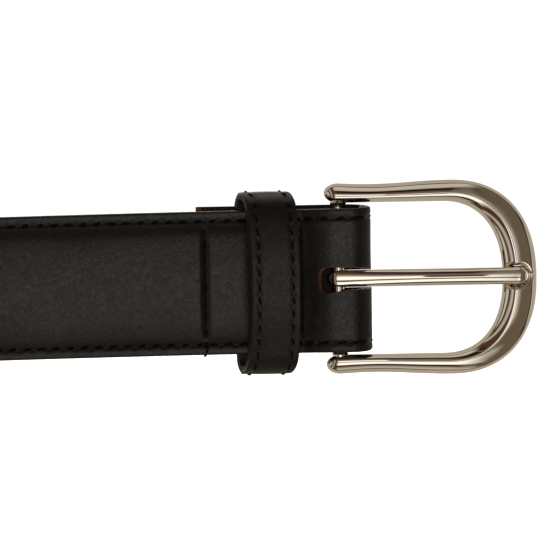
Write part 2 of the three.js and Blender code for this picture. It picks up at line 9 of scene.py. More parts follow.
import bmesh
import bpy
import numpy as np
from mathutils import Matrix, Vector

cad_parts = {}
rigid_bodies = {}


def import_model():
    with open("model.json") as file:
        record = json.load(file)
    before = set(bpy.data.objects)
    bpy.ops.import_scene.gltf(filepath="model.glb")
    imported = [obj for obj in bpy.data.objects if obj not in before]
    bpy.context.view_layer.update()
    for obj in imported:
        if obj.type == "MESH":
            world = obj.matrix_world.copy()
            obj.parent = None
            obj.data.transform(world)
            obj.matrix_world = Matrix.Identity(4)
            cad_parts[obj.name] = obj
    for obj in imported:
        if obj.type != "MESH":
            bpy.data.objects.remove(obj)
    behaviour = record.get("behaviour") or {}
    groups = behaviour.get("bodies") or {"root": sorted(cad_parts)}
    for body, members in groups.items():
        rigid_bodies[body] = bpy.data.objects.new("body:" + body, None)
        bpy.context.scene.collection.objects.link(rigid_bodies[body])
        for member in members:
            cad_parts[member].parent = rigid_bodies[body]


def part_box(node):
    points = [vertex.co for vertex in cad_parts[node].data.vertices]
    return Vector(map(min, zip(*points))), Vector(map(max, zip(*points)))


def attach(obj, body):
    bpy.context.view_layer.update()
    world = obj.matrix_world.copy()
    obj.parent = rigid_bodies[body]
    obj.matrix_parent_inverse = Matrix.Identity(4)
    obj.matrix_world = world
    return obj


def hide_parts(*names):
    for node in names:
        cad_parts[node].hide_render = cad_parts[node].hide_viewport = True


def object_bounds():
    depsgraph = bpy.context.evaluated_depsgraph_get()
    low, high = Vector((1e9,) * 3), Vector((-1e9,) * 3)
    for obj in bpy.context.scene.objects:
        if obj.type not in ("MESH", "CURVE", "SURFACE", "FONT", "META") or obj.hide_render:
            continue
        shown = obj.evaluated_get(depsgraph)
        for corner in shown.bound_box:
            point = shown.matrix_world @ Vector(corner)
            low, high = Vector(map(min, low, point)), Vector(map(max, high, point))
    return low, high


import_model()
CAD_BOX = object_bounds()
MM = 0.001

# ---------------------------------------------------------------- driving dimensions, in millimetres

# Strap.
HALF_WIDTH = 17.5
LINING_THICKNESS = 1.1
OUTER_START = 1.2
STRAP_THICKNESS = 2.5
CORE_TOP = 2.6
CORE_HALF_WIDTH = 11.3
GLUE = 0.1
RAISE = 1.5
RAISED_BASE = 14.75
RAISED_SLOPE = 6.5
CROWN = 0.45
EDGE_ROUND = 0.6
LINING_ROUND = 0.35
MIDDLE_HOLE = 813
HOLE_COUNT = 5
HOLE_PITCH = 25
HOLE_RADIUS = 2.5
LAST_HOLE_TO_TIP = 95
TIP_TAPER = 42
TIP_BLUNTNESS = 0.3
TIP_SEAM = 5.0

# Course.
COIL_START_X = -146
COIL_RADIUS = 50
COIL_PITCH = 6
COIL_POINTS = 1400
FRONT_DROP = 0.45
COIL_DROP = 6.2
DROP_LENGTH = 400
TURNED_RISE = 0.65
FRONT_Z = 4.5
CREST_START_X = -10.0
CREST_END_X = -0.5
FOLD_X = 7.9
TURNED_END_X = -34.8
RAISED_END_X = -15.0
RAISED_END_LENGTH = 9.0
SLOT_END_X = -5
SLOT_WIDTH = 6.5
SLOT_FOLD_WIDTH = 5.3
SLOT_FOOT_X = -3.0
SLOT_FOOT_WIDTH = 5.0
SLOT_BACK_X = -1.7
SLOT_BACK_WIDTH = 4.3
SLOT_CORNER = 2

# Stitching.
SEAM_ACROSS = 15.1
SEAM_DEPTH = 0.22
STITCH_PITCH = 3.5
STITCH_LENGTH = 2.0
STITCH_RADIUS = 0.33
STITCH_RISE = 0.42
BACK_STITCH_RISE = 0.34
BACK_STITCH_SUNK = 0.35
HOLE_DENT_RADIUS = 0.42
HOLE_DENT_DEPTH = 0.38
LINING_SEAM_DEPTH = 0.12
LINING_HOLE_DEPTH = 0.18
REAR_ROW_X = -32.6
FRONT_ROW_X = -9.25
CROSS_HALF = 13.6
CROSS_STITCH_LENGTH = 3.4
CROSS_STITCH_RADIUS = 0.68
CROSS_STITCH_RISE = 0.5
CROSS_BACK_RISE = 0.3
CROSS_HOLE_DEPTH = 0.35
CROSS_CHANNEL = 0.6

# Keeper.
KEEPER_BASE_X = -25.45
KEEPER_LENGTH = 12.0
KEEPER_DROP = 0.7
KEEPER_WIDTH = 44.3
KEEPER_BOTTOM_Z = 2.6
KEEPER_TOP_Z = 13.6
KEEPER_CORNER = 4.2
KEEPER_LEAN = 0.38
KEEPER_ARCH = 3.4
KEEPER_OUTER = 0.9
KEEPER_THICKNESS = 1.8
KEEPER_ROW_INSET = 1.9
KEEPER_PITCH = 3.3
KEEPER_CROWN = 0.12
KEEPER_SEAM_DEPTH = 0.12
KEEPER_HOLE_DEPTH = 0.2
KEEPER_STITCH_RADIUS = 0.3
KEEPER_STITCH_SUNK = 0.4
KEEPER_GAP = 0.2

# Buckle.
BAR_Z = 4.65
BAR_RADIUS = 1.75
BAR_HALF_LENGTH = 21.5
INNER_CENTRE_X = 25.2
INNER_LENGTH = 14.8
INNER_HALF_WIDTH = 18.5
OUTER_CENTRE_X = 27.2
OUTER_LENGTH = 21.1
OUTER_HALF_WIDTH = 23.7
FRAME_WAIST = 0.75
FRAME_SQUARENESS = 2.3
FOOT_LENGTH = 3.4
CREST_ACROSS = -0.22
ARM_FACET = 0.12
ARM_LEAN = 0.32
CRADLE_FLOOR_Z = 4.7
CRADLE_HALF_WIDTH = 2.45
CRADLE_START_X = 34
CRADLE_END_X = 44.2
PRONG_HALF_WIDTH = 2.05
PRONG_TIP_X = 45.8
PRONG_NOSE = 2.2
EYE_RADIUS = 2.5
EYE_HALF_THICKNESS = 0.58

STRAP_LENGTH = MIDDLE_HOLE + (HOLE_COUNT - 1) / 2 * HOLE_PITCH + LAST_HOLE_TO_TIP
COIL_LENGTH = STRAP_LENGTH + COIL_START_X
FOLD_RADIUS = BAR_Z - STRAP_THICKNESS
FOLD_CENTRE_X = FOLD_X - FOLD_RADIUS - STRAP_THICKNESS
CREST_Z = BAR_Z + FOLD_RADIUS

bar_low, bar_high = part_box("buckle_bar")
BAR_CENTRE = (bar_low + bar_high) / 2


def place(points):
    """Points (n, 3) of the belt's own frame, in millimetres, as points of the row frame in metres."""
    x, y, z = points[:, 0], points[:, 1], points[:, 2]
    return np.stack([
        BAR_CENTRE.x + x * MM,
        BAR_CENTRE.y - (z - BAR_Z) * MM,
        BAR_CENTRE.z + y * MM,
    ], axis=1)


def smooth(t):
    """From 0 to 1 as t does, level at both ends."""
    t = np.clip(t, 0, 1)
    return t * t * (3 - 2 * t)


# ---------------------------------------------------------------- meshes

def loft(rings, closed=False, caps=True):
    """Rings (n, m, 3) joined by quads. closed joins the last ring to the first; caps close the ends."""
    n, m, _ = rings.shape
    verts = rings.reshape(-1, 3)
    faces = []
    for i in range(n if closed else n - 1):
        a, b = i * m, ((i + 1) % n) * m
        for j in range(m):
            k = (j + 1) % m
            faces.append((a + j, a + k, b + k, b + j))
    if caps and not closed:
        faces.append(tuple(range(m))[::-1])
        faces.append(tuple(range((n - 1) * m, n * m)))
    return verts, faces


def merge(parts):
    """Several (verts, faces) as one."""
    verts, faces, count = [], [], 0
    for v, f in parts:
        verts.append(v)
        faces.extend(tuple(i + count for i in face) for face in f)
        count += len(v)
    return np.concatenate(verts), faces


def object_from(name, shape, materials, choose=None):
    """A shape in the belt's own frame as an object, with all its faces turned outwards."""
    verts, faces = shape
    mesh = bpy.data.meshes.new(name)
    mesh.from_pydata(place(verts).tolist(), [], faces)
    for material in materials:
        mesh.materials.append(material)
    if choose is not None:
        mesh.polygons.foreach_set("material_index", choose(faces))
    work = bmesh.new()
    work.from_mesh(mesh)
    bmesh.ops.recalc_face_normals(work, faces=work.faces)
    work.to_mesh(mesh)
    work.free()
    obj = bpy.data.objects.new(name, mesh)
    bpy.context.scene.collection.objects.link(obj)
    return obj


def piece(name, shape, materials, body, stands_for, choose=None, sharp=45):
    """A shape as a smooth-shaded piece that rides on a body and replaces its CAD node."""
    obj = object_from(name, shape, materials, choose)
    obj.data.shade_smooth()
    obj.data.set_sharp_from_angle(angle=math.radians(sharp))
    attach(obj, body)
    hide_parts(stands_for)
    return obj


def cut(pieces, shape, material, sharp=45):
    """Cuts a closed shape out of pieces, which get the material on their cut faces."""
    tool = object_from("tool", shape, [material])
    for obj in pieces:
        modifier = obj.modifiers.new("cut", "BOOLEAN")
        modifier.operation = "DIFFERENCE"
        modifier.solver = "EXACT"
        modifier.material_mode = "TRANSFER"
        modifier.object = tool
        bpy.context.view_layer.update()
        evaluated = obj.evaluated_get(bpy.context.evaluated_depsgraph_get())
        mesh = bpy.data.meshes.new_from_object(evaluated)
        obj.modifiers.clear()
        obj.data = mesh
        mesh.shade_smooth()
        mesh.set_sharp_from_angle(angle=math.radians(sharp))
    bpy.data.objects.remove(tool)


# ---------------------------------------------------------------- materials

def material(name, roughness, metallic=0.0):
    """A new material, its node tree and its shader."""
    made = bpy.data.materials.new(name)
    made.use_nodes = True
    shader = made.node_tree.nodes["Principled BSDF"]
    shader.inputs["Roughness"].default_value = roughness
    shader.inputs["Metallic"].default_value = metallic
    return made, made.node_tree, shader


def texture(tree, kind, scale, **settings):
    """A 3-D texture whose scale is in features per millimetre."""
    position = tree.nodes.new("ShaderNodeTexCoord")
    node = tree.nodes.new(kind)
    for key, value in settings.items():
        if key in node.inputs:
            node.inputs[key].default_value = value
        else:
            setattr(node, key, value)
    node.inputs["Scale"].default_value = scale / MM
    tree.links.new(position.outputs["Object"], node.inputs["Vector"])
    return node


def ramp(tree, source, *stops):
    """A colour for each value of a source, from stops of a position and a colour or a grey."""
    node = tree.nodes.new("ShaderNodeValToRGB")
    elements = node.color_ramp.elements
    while len(elements) < len(stops):
        elements.new(0.5)
    for element, (position, colour) in zip(elements, stops):
        element.position = position
        element.color = (*colour, 1) if hasattr(colour, "__len__") else (colour, colour, colour, 1)
    tree.links.new(source, node.inputs["Fac"])
    return node.outputs["Color"]


def colour_mix(tree, first, second, blend_type="MIX"):
    """A mix node of two colours, and its result. second is a socket or a plain colour."""
    node = tree.nodes.new("ShaderNodeMix")
    node.data_type = "RGBA"
    node.blend_type = blend_type
    colours = [socket for socket in node.inputs if socket.type == "RGBA"]
    tree.links.new(first, colours[0])
    if isinstance(second, tuple):
        colours[1].default_value = (*second, 1)
    else:
        tree.links.new(second, colours[1])
    return node, next(socket for socket in node.outputs if socket.type == "RGBA")


def multiply(tree, first, second):
    node, result = colour_mix(tree, first, second, "MULTIPLY")
    node.inputs["Factor"].default_value = 1.0
    return result


def mixed(tree, factor, first, second):
    """The first colour where the factor is 0, and the second where it is 1."""
    node, result = colour_mix(tree, first, second)
    tree.links.new(factor, node.inputs["Factor"])
    return result


def bump(tree, shader, source, height, strength=1.0):
    """Adds a bump of a height in millimetres, on top of any that the shader has."""
    node = tree.nodes.new("ShaderNodeBump")
    node.inputs["Strength"].default_value = strength
    node.inputs["Distance"].default_value = height * MM
    tree.links.new(source, node.inputs["Height"])
    normal = shader.inputs["Normal"]
    if normal.is_linked:
        tree.links.new(normal.links[0].from_socket, node.inputs["Normal"])
    tree.links.new(node.outputs["Normal"], normal)


def grain_leather(name, dark, light, roughness, pore_height, gloss=0.22):
    """Dyed calf: low cloudy variation, fine pores, creases, and a satin finish that follows them."""
    made, tree, shader = material(name, roughness)
    cloud = texture(tree, "ShaderNodeTexNoise", 0.07, Detail=4.0, Roughness=0.6)
    grains = texture(tree, "ShaderNodeTexNoise", 1.5, Detail=4.0, Roughness=0.7)
    tone = multiply(tree, ramp(tree, cloud.outputs["Fac"], (0.3, dark), (0.72, light)),
                    ramp(tree, grains.outputs["Fac"], (0.36, 0.35), (0.64, 1.0)))
    tree.links.new(tone, shader.inputs["Base Color"])
    pebble = texture(tree, "ShaderNodeTexVoronoi", 1.9, feature="DISTANCE_TO_EDGE", Randomness=1.0)
    pebbles = ramp(tree, pebble.outputs["Distance"], (0.0, 0.0), (0.16, 1.0))
    bump(tree, shader, pebbles, pore_height, 0.45)
    pores = texture(tree, "ShaderNodeTexNoise", 1.7, Detail=5.0, Roughness=0.65)
    bump(tree, shader, pores.outputs["Fac"], pore_height * 3.5, 0.9)
    waves = texture(tree, "ShaderNodeTexNoise", 0.12, Detail=3.0, Roughness=0.5)
    bump(tree, shader, waves.outputs["Fac"], 0.35, 0.5)
    patch = texture(tree, "ShaderNodeTexNoise", 0.9, Detail=6.0, Roughness=0.85)
    tree.links.new(
        ramp(tree, patch.outputs["Fac"], (0.38, roughness - 0.09), (0.62, roughness + 0.11)),
        shader.inputs["Roughness"],
    )
    shader.inputs["Specular IOR Level"].default_value = gloss
    shader.inputs["Coat Weight"].default_value = gloss / 5
    shader.inputs["Coat Roughness"].default_value = 0.28
    return made


def fibrous(name, dark, light, roughness, fibre_height):
    """Cut edges, suede and board: uneven fibres that run along the layer."""
    made, tree, shader = material(name, roughness)
    fibre = texture(tree, "ShaderNodeTexNoise", 2.6, Detail=7.0, Roughness=0.75)
    tone = ramp(tree, fibre.outputs["Fac"], (0.32, dark), (0.7, light))
    tree.links.new(tone, shader.inputs["Base Color"])
    bump(tree, shader, fibre.outputs["Fac"], fibre_height, 0.8)
    return made


def twisted_thread(name, colour):
    """Thread: a fine twist in its height, with painted shade darkening the twist's grooves."""
    made, tree, shader = material(name, 0.7)
    twist = texture(tree, "ShaderNodeTexWave", 1.3, Distortion=1.5, Detail=2.0)
    # Painted shade: the twist's low grooves are darker, following the same wave as the bump.
    groove_shade = tuple(0.55 * c for c in colour)
    tone = ramp(tree, twist.outputs["Fac"], (0.2, groove_shade), (0.8, colour))
    tree.links.new(tone, shader.inputs["Base Color"])
    bump(tree, shader, twist.outputs["Fac"], 0.06, 0.7)
    shader.inputs["Specular IOR Level"].default_value = 0.08
    return made


def polished_metal(name, colour, roughness, wave_height):
    """Polished plating: faint waves from hand polishing, and hairlines in the gloss."""
    made, tree, shader = material(name, roughness, 1.0)
    cloud = texture(tree, "ShaderNodeTexNoise", 0.05, Detail=3.0)
    darker = tuple(0.93 * c for c in colour)
    tone = ramp(tree, cloud.outputs["Fac"], (0.35, darker), (0.65, colour))
    tree.links.new(tone, shader.inputs["Base Color"])
    hairs = texture(tree, "ShaderNodeTexNoise", 3.0, Detail=6.0, Roughness=0.7)
    tree.links.new(
        ramp(tree, hairs.outputs["Fac"], (0.45, roughness), (0.75, roughness * 2.2)),
        shader.inputs["Roughness"],
    )
    wave = texture(tree, "ShaderNodeTexNoise", 0.16, Detail=1.0)
    bump(tree, shader, wave.outputs["Fac"], wave_height, 0.5)
    return made


GRAIN = grain_leather("black_calf", (0.0075, 0.0058, 0.0038), (0.0135, 0.0105, 0.0070), 0.36, 0.026)
KEEPER_GRAIN = grain_leather("black_calf_keeper", (0.007, 0.0052, 0.0033), (0.012, 0.0092, 0.006),
                             0.40, 0.02, 0.17)
EDGE = grain_leather("painted_edge", (0.007, 0.005, 0.004), (0.016, 0.010, 0.006), 0.33, 0.012)
LINING = grain_leather("dark_lining", (0.016, 0.009, 0.005), (0.032, 0.018, 0.010), 0.55, 0.03, 0.08)
RAW = fibrous("raw_leather_edge", (0.05, 0.018, 0.008), (0.22, 0.085, 0.032), 0.85, 0.08)
# The slot's walls: raw edge fibres darkened as painted shade in the slot's recess, not a dye of their
# own.
SHADED_SLOT_WALL = fibrous("slot_wall_raw_edge_painted_shade", (0.045, 0.015, 0.006), (0.17, 0.05, 0.02), 0.8, 0.08)
BOARD = fibrous("pressed_fibre", (0.20, 0.14, 0.09), (0.36, 0.27, 0.19), 0.9, 0.1)
THREAD = twisted_thread("black_thread", (0.0035, 0.003, 0.0028))
NICKEL = polished_metal("polished_nickel_plate", (0.87, 0.80, 0.70), 0.035, 0.05)
STEEL = polished_metal("drawn_steel_wire", (0.55, 0.54, 0.52), 0.25, 0.02)


# ---------------------------------------------------------------- the strap's course

def coil_angle(distance):
    """How far round the coil the strap has turned at a distance from the coil's start."""
    tightening = COIL_PITCH / (2 * math.pi)
    return (COIL_RADIUS - np.sqrt(COIL_RADIUS ** 2 - 2 * tightening * distance)) / tightening


def build_course():
    """The lining's face as a fine polyline from the tip to the turned-back end."""
    angle = coil_angle(np.linspace(COIL_LENGTH, 0, COIL_POINTS))
    radius = COIL_RADIUS - COIL_PITCH * angle / (2 * math.pi)
    coil_x = COIL_START_X - np.sin(angle) * radius
    coil_z = FRONT_Z - COIL_RADIUS + np.cos(angle) * radius
    coil = np.stack([coil_x, coil_z], 1)
    x = np.arange(COIL_START_X + 0.2, FOLD_CENTRE_X, 0.2)
    z = FRONT_Z + (CREST_Z - FRONT_Z) * smooth((x - CREST_START_X) / (CREST_END_X - CREST_START_X))
    turn = np.linspace(math.pi / 2, -math.pi / 2, 60)
    fold = np.stack([FOLD_CENTRE_X + FOLD_RADIUS * np.cos(turn), BAR_Z + FOLD_RADIUS * np.sin(turn)], 1)
    back = np.arange(FOLD_CENTRE_X - 0.2, TURNED_END_X - 0.01, -0.2)
    back = np.stack([back, np.full(len(back), STRAP_THICKNESS)], 1)
    line = np.concatenate([coil, np.stack([x, z], 1), fold, back])
    length = np.concatenate([[0], np.cumsum(np.hypot(*np.diff(line, axis=0).T))])
    tangent = np.gradient(line, length, axis=0)
    tangent /= np.hypot(*tangent.T)[:, None]
    return line, tangent, length, len(coil) + len(x), len(coil) + len(x) + len(fold)


COURSE, TANGENT, ALONG, FOLD_FIRST, FOLD_LAST = build_course()
END = ALONG[-1]
FOLD_START = ALONG[FOLD_FIRST]
FOLD_END = ALONG[FOLD_LAST]
BAR_ALONG = FOLD_START - FOLD_CENTRE_X


def front_along(x):
    """How far along the strap the front reaches a place x, counted from the tip."""
    return float(np.interp(x, COURSE[COIL_POINTS:FOLD_FIRST, 0], ALONG[COIL_POINTS:FOLD_FIRST]))


def back_along(x):
    """How far along the strap the turned-back end reaches a place x."""
    return FOLD_END + (FOLD_CENTRE_X - x)


RAISED_END = front_along(RAISED_END_X)


def lateral(u):
    """How far the strap lies off the buckle's middle line."""
    front = -FRONT_DROP - (COIL_DROP - FRONT_DROP) * smooth((BAR_ALONG - u) / DROP_LENGTH)
    turned = smooth((u - FOLD_START) / (FOLD_END - FOLD_START))
    return front * (1 - turned) + TURNED_RISE * turned


def width_at(u):
    """The strap's width at a distance from the tip, as a share of its full width."""
    t = np.clip(u / TIP_TAPER, 0, 1)
    ogive = TIP_BLUNTNESS + (1 - TIP_BLUNTNESS) * np.sqrt(1 - (1 - t) ** 2)
    nose = np.clip(u / 3.0, 0, 1)
    return ogive * (0.35 + 0.65 * np.sqrt(1 - (1 - nose) ** 2))


def raised_at(u):
    """How far the padded middle is raised at a distance from the tip, from 0 to 1."""
    return smooth((u - 8) / 8) * smooth((RAISED_END - u) / RAISED_END_LENGTH)


def on_strap(u, across, out):
    """Points at distances u from the tip, across the strap and out from the lining's face."""
    x = np.interp(u, ALONG, COURSE[:, 0])
    z = np.interp(u, ALONG, COURSE[:, 1])
    tx = np.interp(u, ALONG, TANGENT[:, 0])
    tz = np.interp(u, ALONG, TANGENT[:, 1])
    return np.stack([x - tz * out, across * width_at(u) + lateral(u), z + tx * out], axis=-1)


def shoulder(side):
    """The padded middle's rise across the strap: steep beside the seam, then easing off."""
    inward = np.clip((RAISED_BASE - side) / RAISED_SLOPE, 0, 1)
    return 1 - (1 - inward) ** 3


def hole_dents(u, across, centre, pitch):
    """Dimples round the needle's holes in a row."""
    offset = (u / pitch - np.floor(u / pitch) - 0.5) * pitch
    return np.exp(-((offset / HOLE_DENT_RADIUS) ** 2) - ((across - centre) / HOLE_DENT_RADIUS) ** 2)


def cross_dents(u, across, row):
    """How deep a cross row pulls the leather down, in its channel and at its holes."""
    inside = smooth((CROSS_HALF + 0.6 - np.abs(across)) / 0.6)
    pull = 0.15 + 0.5 * raised_at(row) * shoulder(np.abs(across))
    channel = pull * np.exp(-(((u - row) / CROSS_CHANNEL) ** 2))
    holes = hole_dents(across + CROSS_HALF, u, row, STITCH_PITCH)
    return inside * (channel + CROSS_HOLE_DEPTH * holes)


REAR_ROW = front_along(REAR_ROW_X)
FRONT_ROW = front_along(FRONT_ROW_X)
REAR_ROW_BACK = back_along(REAR_ROW_X)
FRONT_ROW_BACK = back_along(FRONT_ROW_X)


def grain_height(u, across):
    """The grain side's height over the lining's face."""
    side = np.abs(across)
    raised = raised_at(u)
    height = STRAP_THICKNESS + RAISE * raised * shoulder(side)
    height += CROWN * raised * np.clip(1 - (across / CORE_HALF_WIDTH) ** 2, 0, 1) ** 1.5
    height -= SEAM_DEPTH * np.exp(-(((side - SEAM_ACROSS) / 0.5) ** 2))
    height -= HOLE_DENT_DEPTH * hole_dents(u, side, SEAM_ACROSS, STITCH_PITCH)
    for row in (REAR_ROW, FRONT_ROW, REAR_ROW_BACK, FRONT_ROW_BACK):
        height -= cross_dents(u, across, row)
    roll = np.clip((side - (HALF_WIDTH - EDGE_ROUND)) / EDGE_ROUND, 0, 1)
    height -= EDGE_ROUND * (1 - np.sqrt(1 - roll ** 2))
    ripple = np.sin(u * 0.31 + across * 0.2) + np.sin(u * 0.13 - across * 0.37 + 1.0)
    return height + 0.03 * ripple


def stations():
    """Distances from the tip: close together at the tip and on the straight front, wider in the coil."""
    tip = TIP_TAPER * np.linspace(0, 1, 60) ** 1.6
    coil = np.arange(TIP_TAPER + 1.2, COIL_LENGTH + 40, 1.75)
    front = np.arange(coil[-1] + 0.5, END, 0.5)
    return np.concatenate([tip, coil, front, [END]])


def swept(section_across, section_out, u):
    """The strap-wide sweep of a section whose outs may depend on u: arrays (n, m)."""
    uu = np.repeat(u[:, None], section_across.shape[-1], axis=1)
    return loft(on_strap(uu, section_across, section_out))


def half_samples():
    """Places across half of the grain side, closer together at the bevel, the seam and the edge."""
    corner = HALF_WIDTH - EDGE_ROUND + EDGE_ROUND * np.sin(np.linspace(0, math.pi / 2, 7))
    return np.concatenate([
        np.linspace(0, 10.5, 9),
        np.linspace(11.2, 14.1, 9),
        np.linspace(14.3, 15.2, 6),
        np.linspace(15.6, 16.6, 3),
        corner,
    ])


def strap_leather():
    """The outer leather, hollow over the core. Also gives the counts that tell its faces apart."""
    u = stations()
    half = half_samples()
    top = np.concatenate([-half[::-1], half[1:]])
    pocket = CORE_HALF_WIDTH + 0.5
    low = np.array([HALF_WIDTH, pocket, CORE_HALF_WIDTH, -CORE_HALF_WIDTH, -pocket, -HALF_WIDTH])
    deep = np.array([0, 0, 1, 1, 0, 0.0])
    across = np.concatenate([top, low])
    uu = u[:, None]
    top_out = grain_height(uu, top[None, :])
    low_out = OUTER_START + (CORE_TOP + GLUE - OUTER_START) * deep[None, :] * raised_at(uu)
    out = np.concatenate([top_out, low_out], axis=1)
    return swept(np.broadcast_to(across, out.shape), out, u), len(top), len(across), len(u)


def strap_lining():
    """The lining, with rounded edges and the seam's channel. Also gives the counts of its faces."""
    u = stations()
    corner = np.linspace(0, math.pi / 2, 5)
    edge = HALF_WIDTH - LINING_ROUND + LINING_ROUND * np.sin(corner)
    rise = LINING_ROUND * (1 - np.cos(corner))
    seam = SEAM_ACROSS + np.linspace(-0.7, 0.7, 7)
    half = np.concatenate([np.linspace(0, 13, 5), seam, edge])
    lift = np.concatenate([np.zeros(12), rise])
    bottom = np.concatenate([half[::-1], -half[1:]])
    lift = np.concatenate([lift[::-1], lift[1:]])
    across = np.concatenate([bottom, [-HALF_WIDTH, HALF_WIDTH]])
    uu = u[:, None]
    side = np.abs(bottom)[None, :]
    channel = LINING_SEAM_DEPTH * np.exp(-(((side - SEAM_ACROSS) / 0.45) ** 2))
    dents = LINING_HOLE_DEPTH * hole_dents(uu, side, SEAM_ACROSS, STITCH_PITCH)
    low_out = lift[None, :] + channel + dents
    high_out = np.full((len(u), 2), LINING_THICKNESS)
    out = np.concatenate([low_out, high_out], axis=1)
    return swept(np.broadcast_to(across, out.shape), out, u), len(across), len(u)


def strap_core():
    """The padding core, which ends short of the tip and of the rear cross row."""
    u = stations()
    u = u[(u > 17) & (u < front_along(-40))]
    across = np.array([-1, -0.97, -0.9, 0, 0.9, 0.97, 1, 1, -1]) * CORE_HALF_WIDTH
    shoulders = [1.7, 2.3, CORE_TOP - 0.02]
    out = np.array([*shoulders, CORE_TOP, *shoulders[::-1], OUTER_START, OUTER_START])
    shape = (len(u), len(across))
    return swept(np.broadcast_to(across, shape), np.broadcast_to(out, shape), u)


def slot_ring(z, end_x, width, fold_width):
    """The slot's outline at a height: round at its closed end, and narrower towards the fold."""
    turn = np.linspace(math.pi / 2, math.pi * 1.5, 13)
    centre_y = np.sign(np.round(np.sin(turn), 6)) * (width / 2 - SLOT_CORNER)
    end = np.stack([end_x + SLOT_CORNER * (1 + np.cos(turn)), centre_y + SLOT_CORNER * np.sin(turn)], 1)
    half = fold_width / 2
    side = np.array([[FOLD_X + 2, half], [2.5, half]])
    plan = np.concatenate([side, end, side[::-1] * [1, -1]])
    plan[:, 1] -= FRONT_DROP * smooth((3 - plan[:, 0]) / 6)
    return np.column_stack([plan, np.full(len(plan), z)])


def front_slot():
    """The slot through the front layer, with the sloping walls of leather that is punched, then bent."""
    return loft(np.stack([slot_ring(12.0, SLOT_END_X - 0.4, SLOT_WIDTH + 0.4, SLOT_FOLD_WIDTH + 0.4),
                          slot_ring(7.2, SLOT_END_X, SLOT_WIDTH, SLOT_FOLD_WIDTH),
                          slot_ring(3.6, SLOT_FOOT_X, SLOT_FOOT_WIDTH, SLOT_BACK_WIDTH)]))


def back_slot():
    """The slot through the turned-back layer."""
    outline = [slot_ring(z, SLOT_BACK_X, SLOT_BACK_WIDTH, SLOT_BACK_WIDTH) for z in (3.62, -2.0)]
    return loft(np.stack(outline))


def holes():
    """The adjustment holes, as one closed cylinder each."""
    around = np.linspace(0, 2 * math.pi, 33)[:-1]
    parts = []
    for i in range(HOLE_COUNT):
        u = np.array([LAST_HOLE_TO_TIP + i * HOLE_PITCH])
        centre = on_strap(u, np.zeros(1), np.zeros(1))[0]
        out = on_strap(u, np.zeros(1), np.ones(1))[0] - centre
        side = np.cross(out, [0, 1, 0])
        round_hole = np.cos(around)[:, None] * [0, 1, 0] + np.sin(around)[:, None] * side
        ring = centre + HOLE_RADIUS * round_hole
        parts.append(loft(np.stack([ring - 1.5 * out, ring + 6.0 * out])))
    return merge(parts)


# ---------------------------------------------------------------- stitches

def stitch_template():
    """A stitch on its own line: places along it, round its section, and how high it stands."""
    along = np.linspace(-1, 1, 9)
    around = np.linspace(0, 2 * math.pi, 11)[:-1]
    arch = 1 - np.abs(along) ** 3
    return along, around, arch


def stitches(place_points, centres, radius, rise, length=STITCH_LENGTH):
    """One closed thread for each centre. place_points maps (centre, run, across, up) to points."""
    along, around, arch = stitch_template()
    parts = []
    for i, centre in enumerate(centres):
        uneven = math.sin(2.4 * i)
        plump = radius * (0.72 + 0.28 * arch)[:, None] * (1 + 0.09 * uneven)
        across = np.cos(around)[None, :] * plump + (0.14 + 0.09 * uneven) * along[:, None]
        up = np.sin(around)[None, :] * plump * 0.85 + (arch * rise - radius * 0.9)[:, None]
        run = np.broadcast_to(along[:, None] * length / 2 * (1 - 0.1 * uneven), up.shape)
        parts.append(loft(place_points(centre, run, across, up)))
    return merge(parts)


def face_edge(centre, run, across, up):
    """Edge stitches on the grain side, in the seam's channel."""
    u, side = centre
    return on_strap(u + run, side * SEAM_ACROSS + across, STRAP_THICKNESS - 0.13 + up)


def back_edge(centre, run, across, up):
    """Edge stitches on the lining, pulled in where the turned-back end lies against the front."""
    u, side = centre
    sunk = BACK_STITCH_SUNK if u > FOLD_END else 0
    return on_strap(u + run, side * SEAM_ACROSS + across, 0.02 - up + sunk)


def edge_centres(last):
    """Each edge stitch's distance from the tip and its side."""
    first = math.ceil(TIP_SEAM / STITCH_PITCH)
    count = int((last - 2) / STITCH_PITCH)
    return [(i * STITCH_PITCH, side) for i in range(first, count + 1) for side in (-1, 1)]


def tip_centres():
    """Where the stitches across the tip stand."""
    half = SEAM_ACROSS - 1.2
    return np.linspace(-half, half, 5)


def face_tip(centre, run, across, up):
    return on_strap(TIP_SEAM + across, centre + run / width_at(TIP_SEAM), STRAP_THICKNESS - 0.02 + up)


def back_tip(centre, run, across, up):
    return on_strap(TIP_SEAM + across, centre + run / width_at(TIP_SEAM), 0.02 - up)


def cross_row(row, row_back):
    """The stitches of a cross row on the front's grain face and on the turned-back end's."""
    starts = np.arange(-CROSS_HALF, CROSS_HALF + 0.1, STITCH_PITCH)[:-1]

    def on_face(line):
        def points(start, run, across, up):
            middle = start + STITCH_PITCH / 2
            base = grain_height(np.array(line), np.array(middle)) + 0.1
            return on_strap(line + across, middle + run, base + up)
        return points

    front = stitches(on_face(row), starts, CROSS_STITCH_RADIUS, CROSS_STITCH_RISE, CROSS_STITCH_LENGTH)
    back = stitches(on_face(row_back), starts, STITCH_RADIUS, CROSS_BACK_RISE, CROSS_STITCH_LENGTH)
    return [front, back]


def loose_end():
    """The rear cross row's thread, tied off over the strap's lower edge."""
    def points(centre, run, across, up):
        over = np.clip(-centre - run - HALF_WIDTH + 1.2, 0, 2)
        u = REAR_ROW + across + 0.2 * run
        return on_strap(u, centre + run, STRAP_THICKNESS + up - 0.5 * over)
    return stitches(points, [-HALF_WIDTH + 2.6, -HALF_WIDTH + 0.6], 0.4, STITCH_RISE, 2.2)


# ---------------------------------------------------------------- keeper

